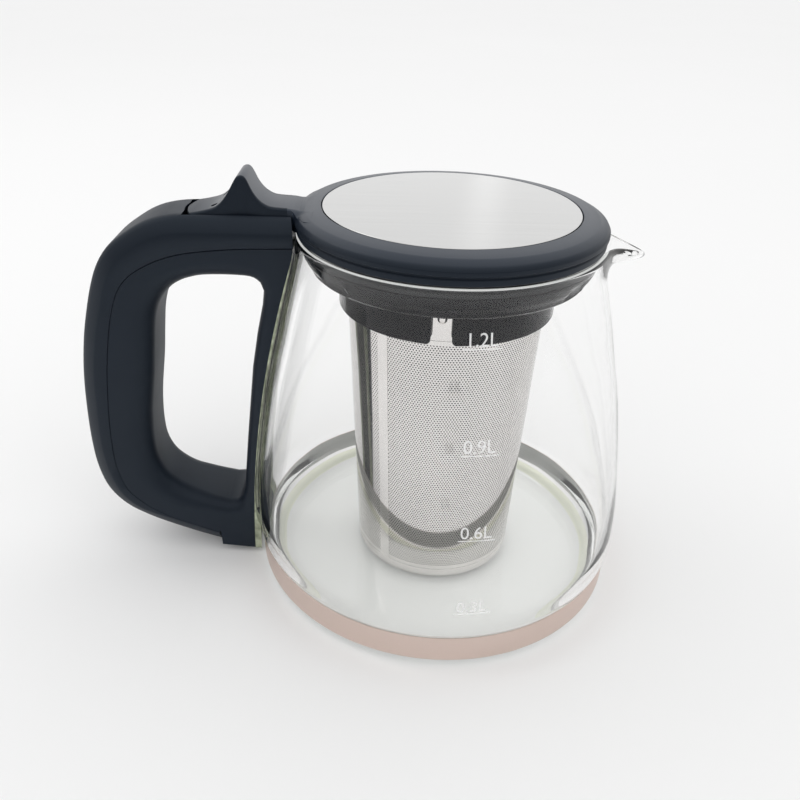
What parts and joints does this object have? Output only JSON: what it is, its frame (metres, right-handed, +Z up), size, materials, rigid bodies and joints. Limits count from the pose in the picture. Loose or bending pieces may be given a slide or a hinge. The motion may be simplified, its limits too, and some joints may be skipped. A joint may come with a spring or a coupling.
{
  "type": "glass tea brewing jug",
  "caption": "Glass tea brewing jug with a pouring lip, hinged lid with thumb tab, D-shaped handle, metal base band and a lift-out perforated steel infuser.",
  "frame": {"origin": "on the jug's upright axis, at the centre of the flat underside of the glass", "axes": "+X towards the pouring lip, -X towards the handle, +Z up along the jug's axis, +Y across the handle"},
  "size_m": [0.1957, 0.1354, 0.1473],
  "materials": {
    "jug_glass": "clear, polished, faint green tint at the edges",
    "band_metal": "satin, warm grey",
    "clear_adhesive": "clear, slightly green",
    "charcoal_plastic": "satin, bluish charcoal",
    "lid_steel": "circular satin brushing",
    "mesh_steel": "satin, finely perforated",
    "screw_steel": "plain",
    "seal_rubber": "matte black"
  },
  "bodies": {
    "jug": {"glass_jug": "jug_glass", "base_band": "band_metal", "handle_bond_strip": "clear_adhesive", "handle_frame": "charcoal_plastic", "handle_cover": "charcoal_plastic", "handle_screw_top": "screw_steel", "handle_screw_bottom": "screw_steel"},
    "lid_carrier": {"lid_pin": "screw_steel"},
    "lid": {"lid_cover": "charcoal_plastic", "lid_plate": "lid_steel", "lid_plug": "charcoal_plastic", "lid_gasket": "seal_rubber", "lid_screw_1": "screw_steel", "lid_screw_2": "screw_steel", "lid_screw_3": "screw_steel"},
    "infuser": {"infuser_ring": "charcoal_plastic", "infuser_ring_seal": "seal_rubber", "infuser_collar": "mesh_steel", "infuser_tube": "mesh_steel", "infuser_seam": "mesh_steel", "infuser_bottom_cap": "mesh_steel"}
  },
  "joints": [
    {"name": "infuser_lift_out", "type": "slide", "parent": "jug", "child": "infuser", "axis": [0, 0, 1], "range_m": [0, 0.16]},
    {"name": "lid_lift_off", "type": "slide", "parent": "jug", "child": "lid_carrier", "axis": [0, 0, 1], "range_m": [0, 0.16]},
    {"name": "lid_hinge", "type": "hinge", "parent": "lid_carrier", "child": "lid", "pos_m": [-0.08047, 0, 0.1296], "axis": [0, -1, 0], "range_deg": [0, 70]}
  ],
  "couplings": [
    {"joint": "lid_lift_off", "follows": "infuser_lift_out", "ratio": 1}
  ]
}
